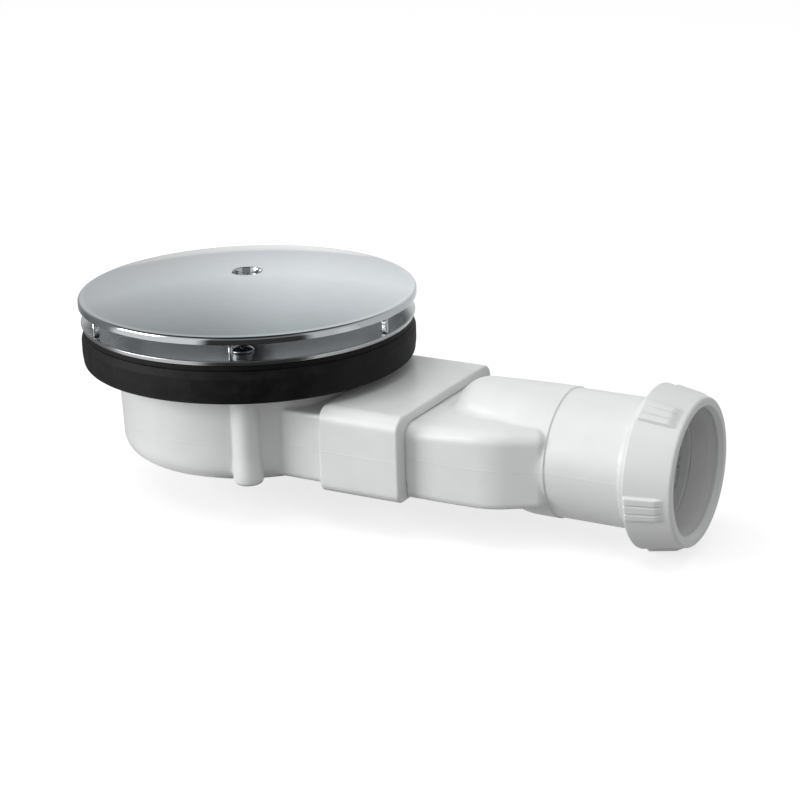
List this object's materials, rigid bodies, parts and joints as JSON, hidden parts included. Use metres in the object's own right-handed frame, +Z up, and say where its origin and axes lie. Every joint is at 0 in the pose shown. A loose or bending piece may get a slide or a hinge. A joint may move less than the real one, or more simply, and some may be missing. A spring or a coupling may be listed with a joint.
{
  "type": "floor drain",
  "caption": "Shower floor drain: domed cover on legs, clamping flange, round pot with a water trap, flat duct and a side outlet with a compression nut for waste pipe.",
  "frame": {"origin": "on the drain axis, in the plane of the flange lip's underside, which bears on the shower tray through its washer", "axes": "+Z up out of the drain, +X along the outlet towards the pipe, +Y across the outlet"},
  "size_m": [0.2229, 0.1154, 0.0747],
  "materials": {
    "cover_chrome": "polished",
    "flange_chrome": "polished",
    "screw_steel": "turned",
    "insert_brass": "turned",
    "gasket_rubber": "matt moulded",
    "seal_rubber": "matt moulded",
    "white_plastic": "satin moulded",
    "nut_plastic": "satin moulded",
    "inner_plastic": "moulded"
  },
  "bodies": {
    "root": {"cover": "cover_chrome", "cover_screw": "screw_steel", "strainer": "inner_plastic", "flange": "flange_chrome", "flange_screws": "screw_steel", "lip_washer": "seal_rubber", "tray_gasket": "gasket_rubber", "pot": "white_plastic", "screw_inserts": "insert_brass", "dip_tube": "inner_plastic", "dip_tube_seal": "seal_rubber", "trap_cup": "inner_plastic", "outlet_body": "white_plastic", "spigot_seal": "seal_rubber", "nut": "nut_plastic", "slip_washer": "inner_plastic", "cone_seal": "inner_plastic"}
  },
  "joints": []
}
